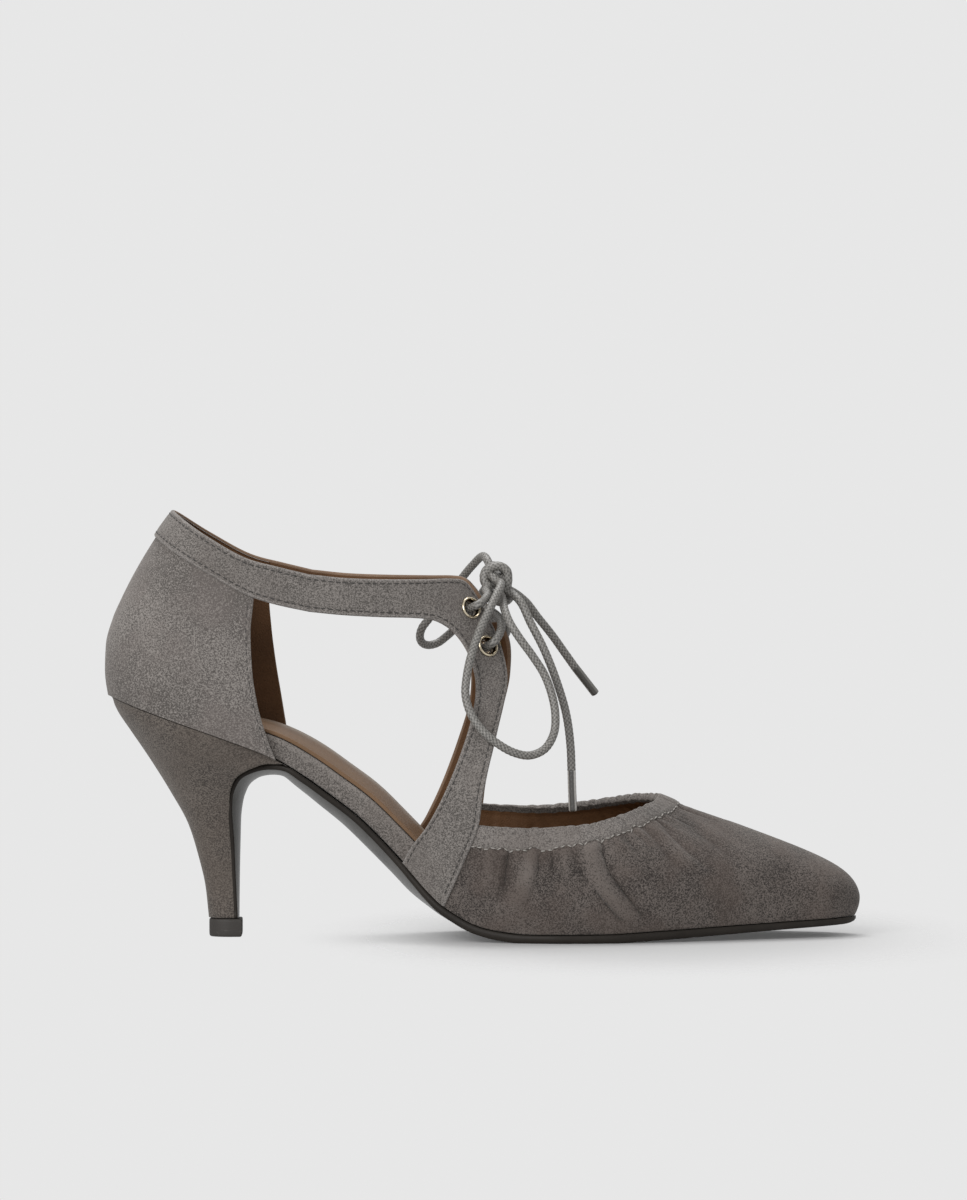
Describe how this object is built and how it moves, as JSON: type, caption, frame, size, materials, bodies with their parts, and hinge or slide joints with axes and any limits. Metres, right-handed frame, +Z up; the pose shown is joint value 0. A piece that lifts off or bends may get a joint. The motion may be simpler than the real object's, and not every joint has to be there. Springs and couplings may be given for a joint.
{
  "type": "lace-up heeled shoe",
  "caption": "Right suede lace-up pump on a curved cone heel: counter, collar strap with eyelet tabs, open sides, gathered vamp with a bound edge, and a tied bow.",
  "frame": {"origin": "middle of the shoe's box without the lace's bow, on the floor that heel and forefoot stand on", "axes": "+X to the toe, +Y to the medial side, +Z up"},
  "size_m": [0.2496, 0.0784, 0.141],
  "materials": {
    "upper_suede": "napped suede",
    "heel_suede": "napped suede",
    "footbed_suede": "napped suede",
    "sock_leather": "smooth matt",
    "sole_leather": "polished",
    "top_piece_rubber": "matt",
    "eyelet_metal": "polished pale gold",
    "lace_cord": "waxed braid",
    "lace_tip": "clear wrap"
  },
  "bodies": {
    "root": {"outsole": "sole_leather", "heel": "heel_suede", "top_piece": "top_piece_rubber", "footbed": "footbed_suede", "insole": "sock_leather", "upper": "upper_suede", "eyelet_lateral_upper": "eyelet_metal", "eyelet_lateral_lower": "eyelet_metal", "eyelet_medial_upper": "eyelet_metal", "eyelet_medial_lower": "eyelet_metal", "lace_crossing": "lace_cord", "lace_knot": "lace_cord", "lace_loop_lateral": "lace_cord", "lace_loop_medial": "lace_cord", "lace_end_long": "lace_cord", "lace_end_short": "lace_cord", "lace_tip_long": "lace_tip", "lace_tip_short": "lace_tip"}
  },
  "joints": []
}
